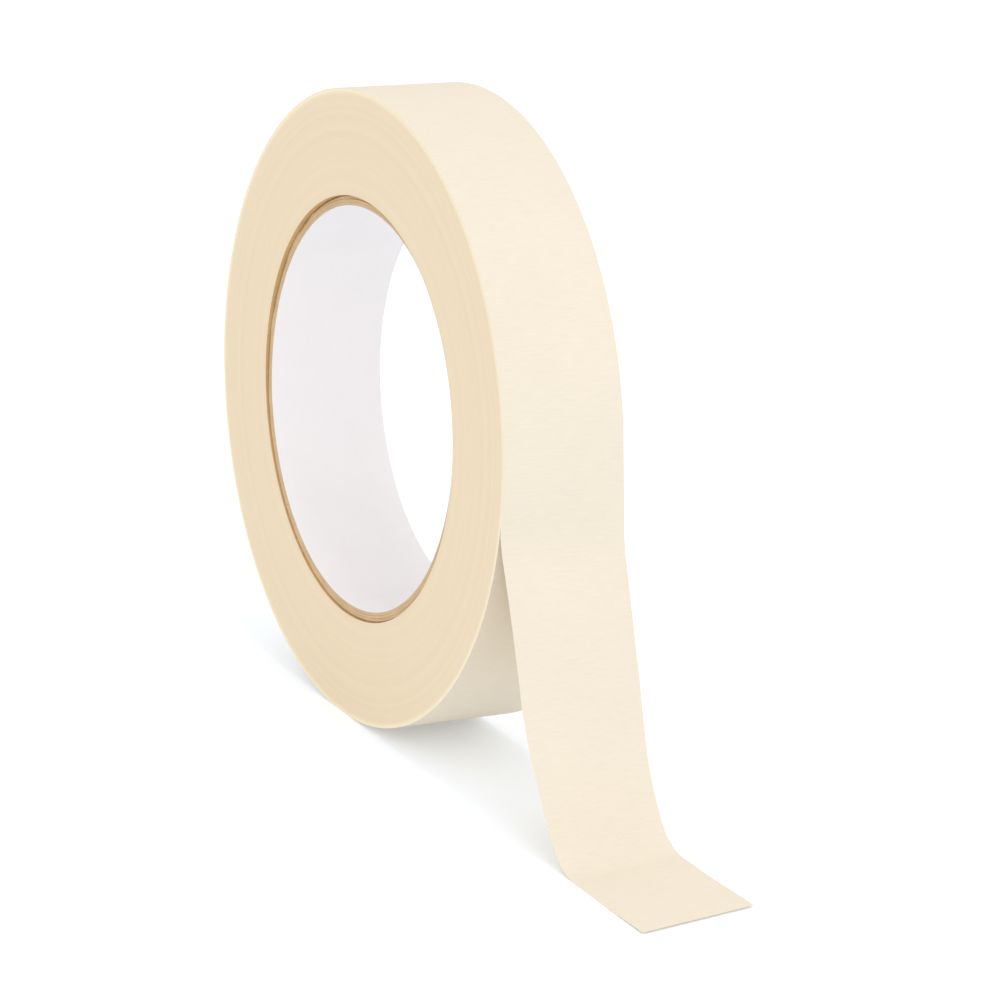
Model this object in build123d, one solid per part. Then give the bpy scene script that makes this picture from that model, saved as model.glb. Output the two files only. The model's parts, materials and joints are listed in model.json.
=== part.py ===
from build123d import *

import os
from math import cos, pi, radians, sin, sqrt

os.makedirs("parts", exist_ok=True)

# A roll of masking tape that stands on its rim, with its free end drawn off on to the floor.
# The origin is the centre of the core's bore. The bore runs along Y, +Z is up and the tail points to +X.
# Lengths are in millimetres and angles in degrees.

# The roll. Where it stands, its rim is pressed flat, by less than the thickness of one turn.
TAPE_WIDTH = 24.0
ROLL_RADIUS = 60.0
FLAT_WIDTH = 6.0
FLOOR = -sqrt(ROLL_RADIUS**2 - (FLAT_WIDTH / 2) ** 2)

# The core: a 3 inch bore, and paper plies from the inside out
BORE_RADIUS = 76.2 / 2
CORE_PLIES = {
    "core_liner": 0.18,
    "core_ply_1": 0.56,
    "core_ply_2": 0.56,
    "core_ply_3": 0.56,
    "core_outer_ply": 0.24,
}
CORE_RECESS = 0.4  # how far each end of the core stands in from the tape's side face
CORE_RADIUS = BORE_RADIUS + sum(CORE_PLIES.values())

# The tape's two layers, as (underside, top) above the face that was stuck down
ADHESIVE_THICKNESS = 0.028
BACKING_THICKNESS = 0.085
TAPE_THICKNESS = ADHESIVE_THICKNESS + BACKING_THICKNESS
LAYERS = {
    "adhesive": (0, ADHESIVE_THICKNESS),
    "backing": (ADHESIVE_THICKNESS, TAPE_THICKNESS),
}
STUCK_CLEARANCE = 0.01  # between the roll and the half turn that lies on it, so that the roll can turn

# The strip's line, seen from the side. A heading is the angle from straight down towards +X, and the strip's
# outer face looks along (cos, sin) of it. On the roll the heading is also the angle up from +X to that place.
PEEL_HEADING = 8.0  # where the tape leaves the roll
SLOPE_HEADING = 20.0  # on the long straight stretch
FOOT_HEADING = 40.0  # where the foot's curve begins
FLOOR_HEADING = 90.0
WRAP_ANGLE = 180.0  # how much of the outermost turn belongs to the strip

PEELED_LENGTH = 16.7  # straight on from the roll
KINK_RADIUS = 20.0
SAG_RADIUS = 70.0
FOOT_RADIUS = 11.0
END_REACH = 115.5  # the cut end, on the middle of the strip
END_SKEW = 9.2  # the cut leans, so that the -Y corner reaches further out
END_ALLOWANCE = 3.0  # extra length before the skewed cut is made

# The strip is cut into stretches that are hinged at its bends
HINGE_GAP = 0.3


def across(angle):
    """The unit vector in the XZ plane at this angle up from +X."""
    return Vector(cos(radians(angle)), sin(radians(angle)))


def along(heading):
    """The unit vector along the strip at this heading."""
    return across(heading - 90)


def straight(heading, length):
    return heading, heading, length


def bend(start, end, radius):
    return start, end, radius * radians(abs(end - start))


def step(point, start, end, length):
    """Where a run of constant curvature leads."""
    half_turn = radians(end - start) / 2
    chord = length * sin(half_turn) / half_turn if half_turn else length
    return point + along((start + end) / 2) * chord


def drop(run):
    return -step(Vector(0, 0), *run).Y


def reach(run):
    return step(Vector(0, 0), *run).X


def strip_runs():
    """The strip from the start of the half turn on the roll to its cut end, as (heading, heading, length)."""
    stuck_radius = ROLL_RADIUS + STUCK_CLEARANCE
    wrap = bend(PEEL_HEADING + WRAP_ANGLE, PEEL_HEADING, stuck_radius)
    peeled = straight(PEEL_HEADING, PEELED_LENGTH)
    kink = bend(PEEL_HEADING, SLOPE_HEADING, KINK_RADIUS)
    sag = bend(SLOPE_HEADING, FOOT_HEADING, SAG_RADIUS)
    foot = bend(FOOT_HEADING, FLOOR_HEADING, FOOT_RADIUS)
    peel_point = across(PEEL_HEADING) * stuck_radius
    height_left = peel_point.Y - FLOOR - sum(drop(r) for r in (peeled, kink, sag, foot))
    slope = straight(SLOPE_HEADING, height_left / cos(radians(SLOPE_HEADING)))
    hanging = (peeled, kink, slope, sag, foot)
    lying_length = END_REACH - peel_point.X - sum(reach(r) for r in hanging)
    return wrap, *hanging, straight(FLOOR_HEADING, lying_length + END_ALLOWANCE)


RUNS = strip_runs()
WRAP, PEELED, KINK, SLOPE, SAG, FOOT, LYING = (sum(r[2] for r in RUNS[:i]) for i in range(len(RUNS)))
STRIP_END = LYING + RUNS[-1][2]

# Places along the strip, from the start of the half turn
PEEL_LINE = PEELED
UPPER_BEND = (KINK + SLOPE) / 2
LOWER_BEND = SAG
FOOT_BEND = (FOOT + LYING) / 2

# Each stretch of the strip: where it begins and ends, hinges included
STRETCHES = {
    "outer_wrap": (WRAP, PEEL_LINE),
    "tail_upper": (PEEL_LINE, UPPER_BEND),
    "tail_middle": (UPPER_BEND, LOWER_BEND),
    "tail_lower": (LOWER_BEND, FOOT_BEND),
    "tail_end": (FOOT_BEND, STRIP_END),
}


def on_strip(distance, height=0.0):
    """The point at this distance along the strip, and this height above the face that was stuck down."""
    point = across(PEEL_HEADING + WRAP_ANGLE) * (ROLL_RADIUS + STUCK_CLEARANCE)
    for start, end, length in RUNS:
        share = min(distance / length, 1.0)
        heading = start + (end - start) * share
        point = step(point, start, heading, length * share)
        distance -= length * share
        if distance <= 0:
            break
    return point + across(heading) * height


def face_line(start, end, height):
    """The edges of the strip's line at one height, from one distance to another."""
    edges, run_start = [], 0.0
    for heading, next_heading, length in RUNS:
        a, b = max(start, run_start), min(end, run_start + length)
        if b > a:
            ends = on_strip(a, height), on_strip(b, height)
            if heading == next_heading:
                edges.append(Line(*ends))
            else:
                edges.append(ThreePointArc(ends[0], on_strip((a + b) / 2, height), ends[1]))
        run_start += length
    return edges


def strip_layer(start, end, underside, top):
    """One layer of the tape between two distances along the strip."""
    edges = face_line(start, end, underside) + face_line(start, end, top)
    edges += [Line(on_strip(s, underside), on_strip(s, top)) for s in (start, end)]
    return extrude(Plane.XZ * make_face(edges), TAPE_WIDTH / 2, both=True)


def cut_end(layer):
    """The layer as the skewed cut leaves it."""
    cut = Plane(origin=(END_REACH, 0, FLOOR), z_dir=(cos(radians(END_SKEW)), sin(radians(END_SKEW)), 0))
    return split(layer, bisect_by=cut, keep=Keep.BOTTOM)


def ring(inner_radius, outer_radius, length):
    """A ring about the Y axis, centred on the origin."""
    return extrude(Plane.XZ * (Circle(outer_radius) - Circle(inner_radius)), length / 2, both=True)


def wound_tape():
    """The turns that stay on the roll, flat where they stand on the floor."""
    flat = Plane(origin=(0, 0, FLOOR), z_dir=(0, 0, 1))
    return split(ring(CORE_RADIUS, ROLL_RADIUS, TAPE_WIDTH), bisect_by=flat, keep=Keep.TOP)


def core_plies():
    """Each ply of the core by name, from the bore outwards."""
    plies, radius = {}, BORE_RADIUS
    for name, thickness in CORE_PLIES.items():
        plies[name] = ring(radius, radius + thickness, TAPE_WIDTH - 2 * CORE_RECESS)
        radius += thickness
    return plies


def strip_layers():
    """Each layer of each stretch of the strip by name, with a gap at every hinge."""
    layers = {}
    for stretch, (start, end) in STRETCHES.items():
        first = start if stretch == "outer_wrap" else start + HINGE_GAP / 2
        last = end if stretch == "tail_end" else end - HINGE_GAP / 2
        for layer, heights in LAYERS.items():
            solid = strip_layer(first, last, *heights)
            layers[f"{stretch}_{layer}"] = cut_end(solid) if stretch == "tail_end" else solid
    return layers


def hinge_points():
    """Where each hinge's axis crosses the XZ plane: halfway through the tape."""
    places = {
        "tail_peel": PEEL_LINE,
        "upper_bend": UPPER_BEND,
        "lower_bend": LOWER_BEND,
        "foot_bend": FOOT_BEND,
    }
    return {name: on_strip(place, TAPE_THICKNESS / 2) for name, place in places.items()}


parts = {**core_plies(), "wound_tape": wound_tape(), **strip_layers()}
for name, part in parts.items():
    export_step(part, f"parts/{name}.step")

wound_area = pi * (ROLL_RADIUS**2 - CORE_RADIUS**2)
wound_length = wound_area / TAPE_THICKNESS / 1000
tail_length = STRIP_END - END_ALLOWANCE - PEEL_LINE
print(f"{(ROLL_RADIUS - CORE_RADIUS) / TAPE_THICKNESS:.0f} turns, {wound_length:.1f} m of tape on the roll")
print(f"tail {tail_length:.1f} mm long, floor at z {FLOOR:.4f}")
for name, point in hinge_points().items():
    print(f"{name} at x {point.X:.4f}, z {point.Y:.4f}")
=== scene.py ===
import json
from math import ceil, cos, pi, radians, sin, tan

import bpy
import numpy as np
from mathutils import Matrix, Vector, noise


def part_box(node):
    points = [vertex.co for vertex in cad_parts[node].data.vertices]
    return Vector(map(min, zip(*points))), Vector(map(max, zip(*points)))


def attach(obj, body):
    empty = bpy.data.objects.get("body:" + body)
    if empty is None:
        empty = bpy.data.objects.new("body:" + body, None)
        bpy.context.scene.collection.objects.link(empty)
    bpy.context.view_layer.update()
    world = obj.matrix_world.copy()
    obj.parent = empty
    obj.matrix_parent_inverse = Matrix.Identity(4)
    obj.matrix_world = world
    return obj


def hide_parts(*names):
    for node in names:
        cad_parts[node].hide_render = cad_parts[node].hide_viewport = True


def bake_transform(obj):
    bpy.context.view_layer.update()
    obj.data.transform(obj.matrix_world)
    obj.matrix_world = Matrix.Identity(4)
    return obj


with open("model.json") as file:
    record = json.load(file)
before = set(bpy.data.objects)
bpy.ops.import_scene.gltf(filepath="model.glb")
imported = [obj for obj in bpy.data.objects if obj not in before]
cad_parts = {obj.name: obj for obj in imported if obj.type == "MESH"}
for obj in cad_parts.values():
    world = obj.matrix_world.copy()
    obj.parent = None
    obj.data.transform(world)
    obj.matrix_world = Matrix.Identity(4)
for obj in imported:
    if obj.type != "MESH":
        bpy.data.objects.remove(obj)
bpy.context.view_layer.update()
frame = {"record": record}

# A roll of crepe-paper masking tape on a paperboard core, with its free end drawn off on to the floor.
# Lengths are in metres in the CAD's frame, and headings and other angles are in degrees.
MM = 0.001

# From the frame
HALF_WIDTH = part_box("wound_tape")[1].y
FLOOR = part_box("wound_tape")[0].z
CORE_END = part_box("core_liner")[1].y
BORE_RADIUS = frame["record"]["mounts"][0]["dims"]["r_mm"] * MM

# The roll, as in the CAD
ROLL_RADIUS = 60 * MM
PLY_THICKNESS = {
    "core_liner": 0.18 * MM,
    "core_ply_1": 0.56 * MM,
    "core_ply_2": 0.56 * MM,
    "core_ply_3": 0.56 * MM,
    "core_outer_ply": 0.24 * MM,
}
CORE_RADIUS = BORE_RADIUS + sum(PLY_THICKNESS.values())
ADHESIVE_THICKNESS = 0.028 * MM
TAPE_THICKNESS = 0.113 * MM
STUCK_RADIUS = ROLL_RADIUS + 0.01 * MM

# The strip's line, as in the CAD. A heading is the angle from straight down towards +X.
PEEL_HEADING = 8
SLOPE_HEADING = 20
FOOT_HEADING = 40
FLOOR_HEADING = 90
WRAP_ANGLE = 180
PEELED_LENGTH = 16.7 * MM
KINK_RADIUS = 20 * MM
SAG_RADIUS = 70 * MM
FOOT_RADIUS = 11 * MM
END_REACH = 115.5 * MM
END_SKEW = 9.2


# ---------------------------------------------------------------- the strip's line

def across(angle):
    """The unit vector in the XZ plane at this angle up from +X."""
    return Vector((cos(radians(angle)), 0, sin(radians(angle))))


def along(heading):
    """The unit vector along the strip at this heading."""
    return across(heading - 90)


def step(point, start, end, length):
    """Where a run of constant curvature leads."""
    half_turn = radians(end - start) / 2
    chord = length * sin(half_turn) / half_turn if half_turn else length
    return point + along((start + end) / 2) * chord


def bend(start, end, radius):
    return start, end, radius * radians(abs(end - start))


def strip_runs():
    """The strip from the peel line to its cut end, as (heading, heading, length)."""
    peeled = (PEEL_HEADING, PEEL_HEADING, PEELED_LENGTH)
    kink = bend(PEEL_HEADING, SLOPE_HEADING, KINK_RADIUS)
    sag = bend(SLOPE_HEADING, FOOT_HEADING, SAG_RADIUS)
    foot = bend(FOOT_HEADING, FLOOR_HEADING, FOOT_RADIUS)
    start = across(PEEL_HEADING) * STUCK_RADIUS
    drops = [step(Vector(), *run).z for run in (peeled, kink, sag, foot)]
    height_left = start.z - FLOOR + sum(drops)
    slope = (SLOPE_HEADING, SLOPE_HEADING, height_left / cos(radians(SLOPE_HEADING)))
    hanging = (peeled, kink, slope, sag, foot)
    reaches = [step(Vector(), *run).x for run in hanging]
    return *hanging, (FLOOR_HEADING, FLOOR_HEADING, END_REACH - start.x - sum(reaches))


RUNS = strip_runs()

# How far along the strip each run starts, after the first
_, KINK, SLOPE, SAG, FOOT, LYING = (sum(run[2] for run in RUNS[:i]) for i in range(len(RUNS)))
STRIP_END = LYING + RUNS[-1][2]
WRAP_START = -STUCK_RADIUS * radians(WRAP_ANGLE)


def strip_line(distance):
    """The point and the heading at this distance from the peel line, on the face that was stuck down."""
    if distance <= 0:
        heading = PEEL_HEADING - distance / STUCK_RADIUS * 180 / pi
        return across(heading) * STUCK_RADIUS, heading
    point = across(PEEL_HEADING) * STUCK_RADIUS
    for start, end, length in RUNS:
        share = min(distance / length, 1)
        heading = start + (end - start) * share
        point = step(point, start, heading, length * share)
        distance -= length * share
        if distance <= 0:
            break
    else:
        point += along(heading) * distance
    return point, heading


# ---------------------------------------------------------------- small shapes

def smoothstep(x, low, high):
    t = min(max((x - low) / (high - low), 0), 1)
    return t * t * (3 - 2 * t)


# The crepe: wrinkles that run across the tape
CREPE_HEIGHT = 0.030 * MM
CREPE_PITCH = 0.42 * MM
CREPE_RUN = 3.2 * MM  # how long a wrinkle is
CREPE_WANDER = 0.5 * MM  # how far the wrinkles wander along the tape
WANDER_ALONG = 6 * MM  # the size of a patch that wanders the same way, along the tape and across it
WANDER_ACROSS = 4 * MM
FINE_CREPE = 0.45  # the height of the finer wrinkles beside the coarse ones
FINE_ALONG = 2.1  # how many times closer the finer wrinkles are, along the tape and across it
FINE_ACROSS = 1.7
WANDER_LAYER, COARSE_LAYER, FINE_LAYER = 7.3, 0.5, 3.5  # parts of the noise that aren't alike
SLIT_MARGIN = 0.5 * MM  # the wrinkles are pressed flat this near to the slit edges


def crepe(distance, y):
    """How far the crepe's wrinkles fall below their crests, from 0 to 1."""
    sway = noise.noise(Vector((distance / WANDER_ALONG, y / WANDER_ACROSS, WANDER_LAYER)))
    u = distance + sway * CREPE_WANDER
    coarse = noise.noise(Vector((u / CREPE_PITCH, y / CREPE_RUN, COARSE_LAYER)))
    fine = noise.noise(Vector((FINE_ALONG * u / CREPE_PITCH, FINE_ACROSS * y / CREPE_RUN, FINE_LAYER)))
    return min(abs(coarse) + FINE_CREPE * abs(fine), 1) * smoothstep(HALF_WIDTH - abs(y), 0, SLIT_MARGIN)


# The tail twists a little above its foot, so that its -Y edge lies further out, and its cut end curls up
TWIST = HALF_WIDTH * tan(radians(END_SKEW))
TWIST_START = SLOPE + 22 * MM
TWIST_END = FOOT - 3 * MM
END_LIFT = 0.35 * MM
END_CURL = 16 * MM  # the length over which it curls

# The tape leaves the roll along a slanted line: its -Y edge stays on the roll for longer than its +Y edge
LATE_PEEL = 15 * MM
LATE_JOIN = 45 * MM  # where the -Y edge is back on the strip's line
LATE_ROUND = 0.5 * MM
LATE_GAP = strip_line(LATE_PEEL)[0].length - STUCK_RADIUS  # from the roll to the strip's line at LATE_PEEL


def smooth_min(a, b, width):
    """The lower of two values, rounded where they differ by less than width."""
    return min(a, b) - max(width - abs(a - b), 0) ** 2 / (4 * width)


def late_peel(distance):
    """How far in the -Y edge lies from the strip's line."""
    if distance >= LATE_JOIN:
        return 0
    on_roll = strip_line(distance)[0].length - STUCK_RADIUS
    peeled = LATE_GAP * ((LATE_JOIN - distance) / (LATE_JOIN - LATE_PEEL)) ** 2
    return max(smooth_min(on_roll, peeled, LATE_ROUND), 0)


def strip_point(distance, y, height):
    """A point of the strip, this high above the face that was stuck down."""
    line, heading = strip_line(distance)
    point = line + across(heading) * height
    point *= 1 - late_peel(distance) * (HALF_WIDTH - y) / (2 * HALF_WIDTH) / line.length
    twist = TWIST * smoothstep(distance, TWIST_START, TWIST_END)
    lift = END_LIFT * smoothstep(distance, STRIP_END - END_CURL, STRIP_END)
    return point.x - y / HALF_WIDTH * twist, y, point.z + lift


# ---------------------------------------------------------------- meshes

TAPE_MAP = "Tape"  # the UV map of every piece: millimetres along the tape and across it


def spread(start, end, spacing):
    """Even steps from start to end, no wider than spacing."""
    return np.linspace(start, end, max(ceil(abs(end - start) / spacing), 1) + 1)


def loft(name, loops, lengths, places, closed=False):
    """A solid through a row of loops of points: a ring if it is closed, and if not, with its ends capped.

    lengths holds the distance along the tape of each loop, and places each point's place across it."""
    loops = np.asarray(loops, float)
    stations, count = loops.shape[:2]
    here = np.arange(stations if closed else stations - 1)[:, None]
    point = np.arange(count)[None, :]
    there, turned = here + 1, (point + 1) % count
    corners = [(here, point), (there, point), (there, turned), (here, turned)]
    quads = np.stack([i % stations * count + j for i, j in corners], -1).reshape(-1, 4).tolist()
    caps = [] if closed else [range(count), range(stations * count - 1, (stations - 1) * count - 1, -1)]
    mesh = bpy.data.meshes.new(name)
    mesh.from_pydata(loops.reshape(-1, 3).tolist(), [], quads + [list(cap) for cap in caps])
    lengths, places = np.asarray(lengths) / MM, np.asarray(places) / MM
    pairs = [np.broadcast_arrays(lengths[i], places[j]) for i, j in corners]
    uv = np.stack([np.stack(pair, -1) for pair in pairs], 2).reshape(-1, 2)
    cap_uv = [(lengths[v // count], places[v % count]) for cap in caps for v in cap]
    uv = np.concatenate([uv, np.reshape(cap_uv, (-1, 2))])
    mesh.uv_layers.new(name=TAPE_MAP).data.foreach_set("uv", uv.astype(np.float32).ravel())
    piece = bpy.data.objects.new(name, mesh)
    bpy.context.scene.collection.objects.link(piece)
    return piece


def smooth(piece, crease=35):
    """Smooth shading, with edges sharper than crease degrees left crisp."""
    piece.data.shade_smooth()
    piece.data.set_sharp_from_angle(angle=radians(crease))


# ---------------------------------------------------------------- the strip

CREPE_STEP = 0.15 * MM  # the spacing of the outlines along the paper, and along the adhesive
GLUE_STEP = 0.3 * MM
ROWS = np.linspace(-HALF_WIDTH, HALF_WIDTH, 25)  # the places across the tape of the crepe's points
EDGES = [-HALF_WIDTH, HALF_WIDTH]
SLIT_FACING = 0.9  # a face is part of a slit edge if its normal is this near to the Y axis
FEATHER = 14 * MM  # the half turn on the roll thins out over this length
FEATHER_LEFT = 0.04  # the share of its thickness that is left at its end


def thinning(distance):
    """The share of its thickness that the tape has at this distance."""
    return FEATHER_LEFT + (1 - FEATHER_LEFT) * smoothstep(distance, WRAP_START, WRAP_START + FEATHER)


def strip_loop(distance, layer):
    """One layer's outline across the strip at this distance."""
    thin = thinning(distance)
    if layer == "paper":
        above = [(y, TAPE_THICKNESS - CREPE_HEIGHT * crepe(distance, y)) for y in ROWS]
        underside = ADHESIVE_THICKNESS
    else:
        above = [(y, ADHESIVE_THICKNESS) for y in EDGES]
        underside = 0
    below = [(y, underside) for y in EDGES[::-1]]
    return [strip_point(distance, y, height * thin) for y, height in above + below]


def strip_piece(name, start, end, layer):
    """One layer of the strip from start to end."""
    spacing = CREPE_STEP if layer == "paper" else GLUE_STEP
    distances = spread(start, end, spacing)
    loops = [strip_loop(distance, layer) for distance in distances]
    rows = ROWS if layer == "paper" else EDGES
    piece = loft(name, loops, distances, [*rows, *EDGES[::-1]])
    smooth(piece)
    return piece


# How far along the strip each hinge is
HINGE_PLACES = {
    "tail_peel": 0,
    "upper_bend": (KINK + SLOPE) / 2,
    "lower_bend": SAG,
    "foot_bend": (FOOT + LYING) / 2,
}

# Each stretch of the strip: its body, its end, the body before it, its hinge, and a reach before and after
# the hinge. The first one rides on its body, and each of the others starts where the one before it ends.
STRETCHES = [
    ("outer_wrap", -12 * MM, None, None, None),
    ("tail_upper", PEELED_LENGTH / 2, "outer_wrap", "tail_peel", (0, 2.4 * MM)),
    ("tail_middle", (SLOPE + SAG) / 2, "tail_upper", "upper_bend", (-2.5 * MM, 8 * MM)),
    ("tail_lower", (SAG + FOOT) / 2 + 3 * MM, "tail_middle", "lower_bend", (-8 * MM, 8 * MM)),
    ("tail_end", STRIP_END, "tail_lower", "foot_bend", (-5 * MM, 5 * MM)),
]


def show_slit_edges(piece, edge):
    """Give the two slit edges of a piece of paper tape their own material, which paints a highlight on
    them.
    """
    piece.data.materials.append(edge)
    for face in piece.data.polygons:
        face.material_index = int(abs(face.normal.y) > SLIT_FACING)


def make_strip(paper, edge, glue):
    """The half turn on the roll and the free tail, in paper and adhesive."""
    start = WRAP_START
    for body, end, before, hinge, reach in STRETCHES:
        for layer, node, slot, finish in (
            ("paper", f"{body}_backing", "crepe_paper", paper),
            ("glue", f"{body}_adhesive", "adhesive", glue),
        ):
            piece = strip_piece(f"{body}_{layer}", start, end, layer)
            piece.data.materials.append(finish)
            if layer == "paper":
                show_slit_edges(piece, edge)
            if hinge is None:
                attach(piece, body)
            else:
                place = HINGE_PLACES[hinge]
                heading = strip_line(place)[1]
                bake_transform(piece)
            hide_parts(node)
        start = end


# ---------------------------------------------------------------- the winding

JOIN_ANGLE = 270  # every ring's mesh closes where the roll stands on the floor
OUTER_TURN_INSIDE = ROLL_RADIUS - TAPE_THICKNESS
INNER_FLOOR = FLOOR + 0.1 * MM  # the flat that the roll stands on, about one turn further in
TURNS_START = -420 * MM  # the distance along the tape of the turn under the last half turn
WINDING_STATIONS = 256
GROOVES = 84  # about one for every two turns


def ring_point(radius, angle, y, lowest=FLOOR):
    """A point of a ring about the bore, pressed flat where the roll stands."""
    point = across(angle) * radius
    return point.x, y, max(point.z, lowest)


def turn_loop(angle, length):
    """The outline across the tape of the turn under the strip."""
    outside = [ring_point(ROLL_RADIUS - CREPE_HEIGHT * crepe(length, y), angle, y) for y in ROWS]
    inside = [ring_point(OUTER_TURN_INSIDE, angle, y, INNER_FLOOR) for y in EDGES[::-1]]
    return [*outside, *inside][::-1]


def make_outer_turn(paper, edge):
    """The turn of tape that shows once the strip has been drawn off it."""
    angles = JOIN_ANGLE + spread(0, 2 * pi * ROLL_RADIUS, CREPE_STEP)[:-1] / ROLL_RADIUS * 180 / pi
    lengths = TURNS_START - np.radians([*angles, JOIN_ANGLE + 360]) * ROLL_RADIUS
    loops = [turn_loop(angle, length) for angle, length in zip(angles, lengths)]
    piece = loft("outer_turn", loops, lengths, [*EDGES, *ROWS[::-1]], closed=True)
    smooth(piece)
    piece.data.materials.append(paper)
    show_slit_edges(piece, edge)
    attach(piece, "roll")


TELESCOPE = 0.07 * MM  # how far whole bands of turns stand in from the side face
BAND_PITCH = 2.2 * MM
BAND_LAYER = 0.3
STRAY = 0.03 * MM  # how far single turns stand in
STRAY_PITCH = 0.7 * MM
STRAY_ROUND = 1.3  # how fast that changes round the roll
BAND_SIDE, STRAY_SIDE = 9.1, 40  # these keep the noise of the two sides apart
GROOVE = 0.012 * MM
FLUSH_RIM = 1.5 * MM  # the side face is flush over this width at its rim


def edge_recess(radius, angle, side):
    """How far the edges of the turns stand in from the side face here."""
    band = 0.5 + 0.5 * noise.noise(Vector((radius / BAND_PITCH, BAND_SIDE * side, BAND_LAYER)))
    around = across(angle) * STRAY_ROUND
    stray = 0.5 + 0.5 * noise.noise(Vector((around.x, around.z, radius / STRAY_PITCH + STRAY_SIDE * side)))
    flush = 1 - smoothstep(radius, ROLL_RADIUS - FLUSH_RIM, OUTER_TURN_INSIDE)
    return (TELESCOPE * band + STRAY * stray) * flush


def grooved_face(radii, angle, side):
    """The points of one side face at this angle, with a groove at every other radius."""
    depths = [edge_recess(radius, angle, side) + GROOVE * (i % 2) for i, radius in enumerate(radii)]
    rows = [side * (HALF_WIDTH - depth) for depth in depths]
    return [ring_point(radius, angle, y, INNER_FLOOR) for radius, y in zip(radii, rows)]


def make_winding(side_face, fibres):
    """The turns below the outer one: a ring whose side faces are the edges of the wound tape.

    Its bore is covered in fibres that the core's outer ply left on the adhesive."""
    radii = np.linspace(CORE_RADIUS, OUTER_TURN_INSIDE, 2 * GROOVES + 1)
    angles = JOIN_ANGLE + np.arange(WINDING_STATIONS) * 360 / WINDING_STATIONS
    loops = [grooved_face(radii, angle, -1)[::-1] + grooved_face(radii, angle, 1) for angle in angles]
    lengths = np.radians([*angles, JOIN_ANGLE + 360]) * ROLL_RADIUS
    places = [*radii[::-1], *radii]
    piece = loft("winding", loops, lengths, places, closed=True)
    smooth(piece)
    piece.data.materials.append(side_face)
    piece.data.materials.append(fibres)
    bore_wall = len(radii) - 1  # the place in each loop where one side face ends and the other begins
    for face in piece.data.polygons:
        face.material_index = int(face.index % len(places) == bore_wall)
    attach(piece, "roll")
    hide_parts("wound_tape")


# ---------------------------------------------------------------- the core

CORE_STATIONS = 240
CORE_PUSH = 0.4 * MM  # the core is pushed this far towards +Y, so that its +Y end is flush with the tape
CORE_SKEW = 0.5 * MM  # its -Y end is cut a little out of square
SKEW_TOWARDS = 50  # the angle at which that end stands furthest in
WALL_REACH = CORE_END - 2 * MM  # where the ragged ends begin
WALL_ROWS = 24
PLY_ROUND = 0.05 * MM
PLY_GAP = 0.006 * MM

# The plies' ends stand in unevenly, and their cut edges are frayed
PLY_RECESS = {
    "core_liner": 0.0 * MM,
    "core_ply_1": 0.03 * MM,
    "core_ply_2": 0.01 * MM,
    "core_ply_3": 0.04 * MM,
    "core_outer_ply": 0.05 * MM,
}
FRAY = 0.06 * MM
FRAY_PITCH = 0.9 * MM
FRAY_SIDE = 31  # this keeps the noise of the two ends apart
FRAY_FRACTAL = (1.0, 2.0, 3)  # the fractal's dimension, lacunarity and octaves

# Two plies are torn back round part of each end
TORN_DEPTH = {"core_ply_3": 0.20 * MM, "core_outer_ply": 0.55 * MM}
TORN_MIDDLE = {-1: 135, 1: 300}  # the middle of the torn stretch at the -Y and at the +Y end
TORN_TAPER = 1.5  # how fast the tear gets shallower away from its middle
TORN_PITCH = 5 * MM
TORN_FROM, TORN_TO = -0.35, 0.05  # the tear deepens between these two levels of the noise
TORN_SIDE = 17
TORN_LAYER = 7.63

# The helical butt joint of the liner's paper
SEAM_DEPTH = 0.035 * MM
SEAM_PITCH = 75 * MM
SEAM_BLUR = 0.5 * MM
SEAM_TURN = 30  # degrees
SEAM_SLOPE = 1.6  # how far it goes round the bore for each step along it


def fray(angle, side):
    """How far the cut edges of the plies stand in, from 0 to 1."""
    place = across(angle) * BORE_RADIUS / FRAY_PITCH
    level = side * FRAY_SIDE + BORE_RADIUS / MM
    return 0.5 + 0.5 * noise.fractal(Vector((place.x, level, place.z)), *FRAY_FRACTAL)


def torn(angle, side):
    """How far the outer plies' ends are torn back here, from 0 to 1."""
    place = across(angle) * CORE_RADIUS / TORN_PITCH
    level = noise.noise(Vector((place.x, side * TORN_SIDE + TORN_LAYER, place.z)))
    stretch = max(0, cos(radians(angle - TORN_MIDDLE[side])))
    return smoothstep(level, TORN_FROM, TORN_TO) * stretch ** TORN_TAPER


def core_end(name, angle, side):
    """How far along the bore a ply reaches here, towards +Y or -Y."""
    recess = PLY_RECESS[name] + FRAY * fray(angle, side)
    recess += TORN_DEPTH.get(name, 0) * torn(angle, side)
    if side < 0:
        recess += CORE_SKEW * cos(radians(angle - SKEW_TOWARDS))
    return side * (CORE_END - recess) + CORE_PUSH


def seam(angle, y):
    """How deep the liner's butt joint is here, from 0 to 1 at its middle."""
    around = radians(angle + SEAM_TURN) * BORE_RADIUS / SEAM_SLOPE
    off = (around - y - SEAM_PITCH / 2) % SEAM_PITCH - SEAM_PITCH / 2
    return max(0, 1 - (off / SEAM_BLUR) ** 2) ** 2


def ply_outline(name, inside, outside, angle):
    """One ply's outline where a cut along the bore at this angle opens it, as pairs of a radius and a y."""
    near, far = core_end(name, angle, -1), core_end(name, angle, 1)
    seam_depth = SEAM_DEPTH if name == "core_liner" else 0
    wall_rows = np.linspace(-WALL_REACH, WALL_REACH, WALL_ROWS)
    return [
        *((inside + seam_depth * seam(angle, y), y) for y in wall_rows),
        (inside, far - PLY_ROUND),
        (inside + PLY_ROUND, far),
        (outside - PLY_ROUND, far),
        (outside, far - PLY_ROUND),
        (outside, near + PLY_ROUND),
        (outside - PLY_ROUND, near),
        (inside + PLY_ROUND, near),
        (inside, near + PLY_ROUND),
    ]


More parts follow.
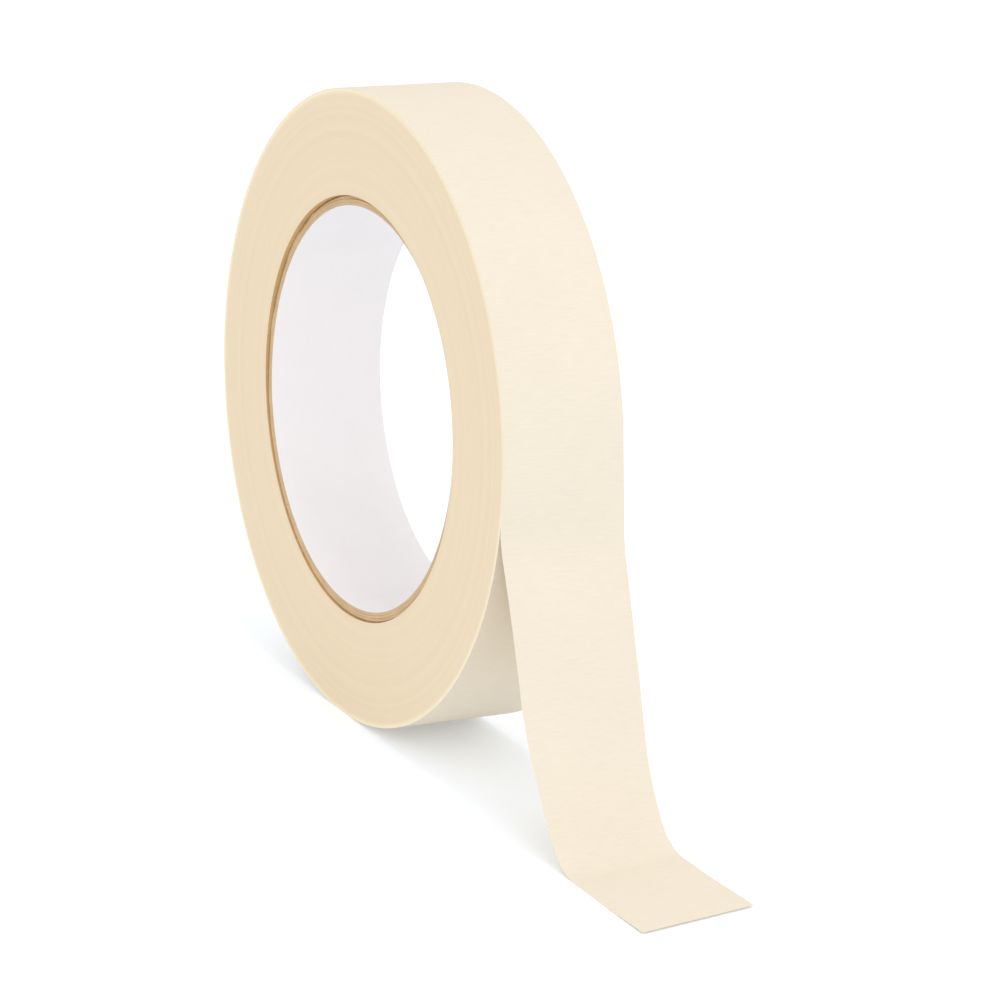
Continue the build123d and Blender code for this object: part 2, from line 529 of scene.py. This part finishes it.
def make_ply(name, inner, outer, finish):
    """One ply of the core: a thin ring with a slightly ragged cut at each end."""
    angles = JOIN_ANGLE + np.arange(CORE_STATIONS) * 360 / CORE_STATIONS
    outlines = [ply_outline(name, inner + PLY_GAP, outer - PLY_GAP, angle) for angle in angles]
    loops = [[ring_point(r, angle, y) for r, y in outline] for angle, outline in zip(angles, outlines)]
    lengths = np.radians([*angles, JOIN_ANGLE + 360]) * BORE_RADIUS
    places = [y for _, y in outlines[-1]]
    piece = loft(name + "_paper", loops, lengths, places, closed=True)
    smooth(piece)
    piece.data.materials.append(finish)
    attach(piece, "roll")
    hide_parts(name)


def make_core(liner, chipboard, kraft):
    radius = BORE_RADIUS
    for name, thickness in PLY_THICKNESS.items():
        slot, finish = {
            "core_liner": ("white_liner", liner),
            "core_outer_ply": ("kraft_ply", kraft),
        }.get(name, ("chipboard", chipboard))
        make_ply(name, radius, radius + thickness, finish)
        radius += thickness


# ---------------------------------------------------------------- materials

# The Mix node has a socket of the same name for each type of data, so its colour sockets go by number
MIX_FIRST, MIX_SECOND, MIX_RESULT = 6, 7, 2


def grey(value):
    return value, value, value, 1


def tint(colour, factor):
    return tuple(channel * factor for channel in colour[:3]) + (1,)


class Finish:
    """A material, and a short way to add nodes to it."""

    def __init__(self, name, roughness, specular):
        self.material = bpy.data.materials.new(name)
        self.material.use_nodes = True
        self.tree = self.material.node_tree
        self.shader = self.tree.nodes["Principled BSDF"]
        self.shader.inputs["Roughness"].default_value = roughness
        self.shader.inputs["Specular IOR Level"].default_value = specular

    def node(self, kind, inputs=(), **settings):
        made = self.tree.nodes.new("ShaderNode" + kind)
        for name, value in settings.items():
            setattr(made, name, value)
        for name, value in dict(inputs).items():
            self.set(made.inputs[name], value)
        return made

    def set(self, socket, value):
        if isinstance(value, bpy.types.NodeSocket):
            self.tree.links.new(value, socket)
        else:
            socket.default_value = value

    def tape_place(self):
        """Millimetres along the tape and across it."""
        return self.node("UVMap", uv_map=TAPE_MAP).outputs["UV"]

    def object_place(self):
        """The place in the CAD's frame, in metres."""
        return self.node("TexCoord").outputs["Object"]

    def bore_distance(self, place):
        """How far a place is from the bore's axis."""
        parts = self.node("SeparateXYZ", {"Vector": place}).outputs
        squares = [self.math("MULTIPLY", parts[axis], parts[axis]) for axis in "XZ"]
        return self.math("SQRT", self.math("ADD", *squares))

    def noise(self, place, scale, detail=3.0, stretch=(1, 1, 1), roughness=0.5):
        """Noise from 0 to 1 with this many cells to a unit of the place, stretched along each axis."""
        scaled = self.node("Mapping", {"Vector": place, "Scale": stretch}).outputs["Vector"]
        inputs = {"Vector": scaled, "Scale": scale, "Detail": detail, "Roughness": roughness}
        return self.node("TexNoise", inputs).outputs["Fac"]

    def line_noise(self, distance, scale, detail):
        """Noise from 0 to 1 that changes with one distance only."""
        inputs = {"W": distance, "Scale": scale, "Detail": detail}
        return self.node("TexNoise", inputs, noise_dimensions="1D").outputs["Fac"]

    def math(self, operation, *values):
        made = self.node("Math", operation=operation)
        for socket, value in zip(made.inputs, values):
            self.set(socket, value)
        return made.outputs[0]

    def range(self, value, low, high, start=0.25, end=0.75):
        """The value's start to end, spread from low to high."""
        inputs = {"Value": value, "From Min": start, "From Max": end, "To Min": low, "To Max": high}
        return self.node("MapRange", inputs).outputs["Result"]

    def blend(self, amount, first, second):
        """A colour between two."""
        made = self.node("Mix", data_type="RGBA")
        self.set(made.inputs["Factor"], amount)
        self.set(made.inputs[MIX_FIRST], first)
        self.set(made.inputs[MIX_SECOND], second)
        return made.outputs[MIX_RESULT]

    def drift(self, level, colour, low, high):
        """A colour that drifts between two tints of itself with a noise's level."""
        return self.blend(self.range(level, 0, 1), tint(colour, low), tint(colour, high))

    def shade(self, base, level, most, dark, start=0.25, end=0.75):
        """The base, with up to the most of a dark colour where a noise's level is low."""
        return self.blend(self.range(level, most, 0, start, end), base, dark)

    def bump(self, height, distance, normal=None):
        inputs = {"Height": height, "Distance": distance}
        if normal is not None:
            inputs["Normal"] = normal
        return self.node("Bump", inputs).outputs["Normal"]

    def finish(self, colour, roughness=None, normal=None):
        self.set(self.shader.inputs["Base Color"], colour)
        if roughness is not None:
            self.set(self.shader.inputs["Roughness"], roughness)
        if normal is not None:
            self.set(self.shader.inputs["Normal"], normal)
        return self.material


CREPE_CREAM = (0.765, 0.684, 0.560, 1)
SIDE_CREAM = (0.790, 0.645, 0.448, 1)
# A paler cream, a painted highlight on the slit edges and on the side face's rim
SLIT_HIGHLIGHT_CREAM = (0.872, 0.766, 0.556, 1)
RIM_HIGHLIGHT_WIDTH = 1.0 * MM  # how far in from the rim the side face has a painted highlight
GLUE_TAN = (0.720, 0.580, 0.370, 1)
CHIPBOARD_TAN = (0.635, 0.455, 0.262, 1)
KRAFT_BROWN = (0.440, 0.270, 0.120, 1)
FIBRE_TAN = (0.690, 0.450, 0.200, 1)
LINER_WHITE = (0.800, 0.765, 0.762, 1)

# The wrinkles' noise, for a place in millimetres. The adhesive has their imprint.
WRINKLES = {"scale": 2.4, "detail": 2.0, "stretch": (1, 0.14, 1)}


def crepe_paper():
    f = Finish("crepe_paper", roughness=0.72, specular=0.30)
    place = f.tape_place()
    wrinkles = f.noise(place, **WRINKLES)
    fibres = f.noise(place, scale=7.0, detail=3.0, stretch=(1, 0.35, 1), roughness=0.6)
    clouds = f.noise(place, scale=0.06)
    cloudy = f.drift(clouds, CREPE_CREAM, low=0.985, high=1.01)
    # Painted shade: the paper is darker where the wrinkles' height is low, in their valleys
    valley_shaded = f.shade(cloudy, wrinkles, most=0.20, dark=tint(CREPE_CREAM, 0.80))
    flecked = f.shade(valley_shaded, fibres, most=0.12, dark=tint(CREPE_CREAM, 0.78), start=0.3, end=0.5)
    roughness = f.range(wrinkles, low=0.80, high=0.66)
    wrinkled = f.bump(wrinkles, distance=0.020 * MM)
    return f.finish(flecked, roughness, f.bump(fibres, distance=0.008 * MM, normal=wrinkled))


def slit_edge_highlight():
    """The slit edge of the paper with its fibres, in a paler cream: a painted highlight."""
    f = Finish("slit_edge_highlight", roughness=0.75, specular=0.25)
    fibres = f.noise(f.object_place(), scale=3000)
    # painted highlight: the slit edges are paler than the side face
    return f.finish(f.shade(SLIT_HIGHLIGHT_CREAM, fibres, most=0.12, dark=tint(SLIT_HIGHLIGHT_CREAM, 0.85)))


def wound_side():
    """The edges of the wound turns: fine lines and broader bands round the bore, and a painted highlight at
    the rim.
    """
    f = Finish("wound_side", roughness=0.62, specular=0.35)
    place = f.object_place()
    distance = f.bore_distance(place)
    turns = f.line_noise(distance, scale=8800, detail=1.0)
    bands = f.line_noise(distance, scale=650, detail=3.0)
    clouds = f.noise(place, scale=90)
    banded = f.drift(bands, SIDE_CREAM, low=0.975, high=1.015)
    lined = f.shade(banded, turns, most=0.10, dark=tint(SIDE_CREAM, 0.75))
    cloudy = f.shade(lined, clouds, most=0.06, dark=tint(SIDE_CREAM, 0.85))
    # Painted highlight: near the rim the side face turns to the slit edges' pale cream
    rim = f.range(distance, low=0, high=1, start=ROLL_RADIUS - RIM_HIGHLIGHT_WIDTH, end=OUTER_TURN_INSIDE)
    rim_highlighted = f.blend(rim, cloudy, SLIT_HIGHLIGHT_CREAM)
    return f.finish(rim_highlighted, f.range(turns, low=0.70, high=0.55), f.bump(turns, distance=0.02 * MM))


def adhesive():
    f = Finish("adhesive", roughness=0.38, specular=0.5)
    place = f.tape_place()
    imprint = f.noise(place, **WRINKLES)
    clouds = f.noise(place, scale=0.12, detail=4.0)
    cloudy = f.drift(clouds, GLUE_TAN, low=0.93, high=1.03)
    return f.finish(cloudy, f.range(clouds, low=0.30, high=0.46), f.bump(imprint, distance=0.012 * MM))


def board(name, colour, roughness):
    """Recycled paperboard: matted fibres with darker and paler flecks."""
    f = Finish(name, roughness, specular=0.2)
    place = f.object_place()
    fibres = f.noise(place, scale=3200, detail=4.0, stretch=(1, 0.5, 1), roughness=0.65)
    flecks = f.noise(place, scale=1500, detail=2.0)
    clouds = f.noise(place, scale=160)
    cloudy = f.drift(clouds, colour, low=0.90, high=1.06)
    matted = f.shade(cloudy, fibres, most=0.22, dark=tint(colour, 0.55))
    flecked = f.blend(f.range(flecks, low=0, high=0.30, start=0.60, end=0.78), matted, tint(colour, 1.45))
    uneven = f.range(fibres, low=roughness + 0.06, high=roughness - 0.06)
    return f.finish(flecked, uneven, f.bump(fibres, distance=0.05 * MM))


def white_liner():
    f = Finish("white_liner", roughness=0.55, specular=0.4)
    place = f.tape_place()
    fibres = f.noise(place, scale=1.6, detail=4.0, stretch=(0.5, 1, 1), roughness=0.6)
    clouds = f.noise(place, scale=0.07)
    cloudy = f.drift(clouds, LINER_WHITE, low=0.98, high=1.01)
    fibrous = f.shade(cloudy, fibres, most=0.06, dark=tint(LINER_WHITE, 0.82))
    return f.finish(fibrous, f.range(fibres, low=0.62, high=0.48), f.bump(fibres, distance=0.012 * MM))


# ---------------------------------------------------------------- floor, light and camera

FLOOR_SIZE = 6.0
FLOOR_DROP = 0.03 * MM
FLOOR_WHITE = (0.79, 0.83, 0.88, 1)  # cool, to offset the warm light that the tape throws on it
FLOOR_GLOW = 0.21
WORLD_STRENGTH = 1.0


def make_floor():
    mesh = bpy.data.meshes.new("floor")
    half, z = FLOOR_SIZE / 2, FLOOR - FLOOR_DROP
    corners = [(-half, -half, z), (half, -half, z), (half, half, z), (-half, half, z)]
    mesh.from_pydata(corners, [], [range(4)])
    floor = bpy.data.objects.new("floor", mesh)
    bpy.context.scene.collection.objects.link(floor)
    f = Finish("floor", roughness=0.9, specular=0.0)
    f.shader.inputs["Emission Color"].default_value = grey(1)
    f.shader.inputs["Emission Strength"].default_value = FLOOR_GLOW
    mesh.materials.append(f.finish(FLOOR_WHITE))


ROLL_MIDDLE = Vector((0.02, 0, 0))
FOOT_MIDDLE = Vector((0.10, 0, FLOOR))

# Each soft box: its name, target, azimuth, elevation, distance, size and watts.
# Azimuth 0 stands in front of the roll's -Y side, and 90 in front of its tail.
SOFT_BOXES = [
    ("top_soft_box", ROLL_MIDDLE, 0, 90, 0.9, 0.2, 1.1),
    ("left_soft_box", ROLL_MIDDLE, -20, 20, 0.9, 0.6, 0.3),
    ("right_soft_box", ROLL_MIDDLE, 140, 20, 0.9, 0.6, 1.0),
    ("front_soft_box", FOOT_MIDDLE, 70, 35, 0.45, 0.2, 0.2),
]


def make_light(name, target, azimuth, elevation, distance, size, watts):
    """A square soft box that faces its target."""
    lamp = bpy.data.lights.new(name, "AREA")
    lamp.size, lamp.energy = size, watts
    turn = Matrix.Rotation(radians(azimuth), 4, "Z")
    tilt = Matrix.Rotation(radians(90 - elevation), 4, "X")
    light = bpy.data.objects.new(name, lamp)
    light.matrix_world = Matrix.Translation(target) @ turn @ tilt @ Matrix.Translation((0, 0, distance))
    bpy.context.scene.collection.objects.link(light)


def make_studio():
    make_floor()
    for soft_box in SOFT_BOXES:
        make_light(*soft_box)
    world = bpy.data.worlds.new("studio")
    world.use_nodes = True
    background = world.node_tree.nodes["Background"]
    background.inputs["Color"].default_value = grey(1)
    background.inputs["Strength"].default_value = WORLD_STRENGTH
    bpy.context.scene.world = world
    bpy.context.scene.view_settings.view_transform = "Standard"


CAMERA_PLACE = (0.68354, -0.34968, 0.21246)
CAMERA_YAW = 61.60
CAMERA_PITCH = 16.70
CAMERA_ROLL = 3.04
CAMERA_LENS = 151.98  # for the default sensor, 36 mm wide


def make_camera():
    camera = bpy.data.objects.new("camera", bpy.data.cameras.new("camera"))
    camera.data.lens = CAMERA_LENS
    camera.location = CAMERA_PLACE
    turn = Matrix.Rotation(radians(CAMERA_YAW), 3, "Z")
    tilt = Matrix.Rotation(radians(90 - CAMERA_PITCH), 3, "X")
    lean = Matrix.Rotation(radians(CAMERA_ROLL), 3, "Z")
    camera.rotation_euler = (turn @ tilt @ lean).to_euler()
    bpy.context.scene.collection.objects.link(camera)
    bpy.context.scene.camera = camera


paper, edge, glue = crepe_paper(), slit_edge_highlight(), adhesive()
make_strip(paper, edge, glue)
make_outer_turn(paper, edge)
make_winding(wound_side(), board("torn_fibres", FIBRE_TAN, roughness=0.85))
chipboard = board("chipboard", CHIPBOARD_TAN, roughness=0.85)
kraft = board("kraft_ply", KRAFT_BROWN, roughness=0.80)
make_core(white_liner(), chipboard, kraft)
make_studio()
make_camera()
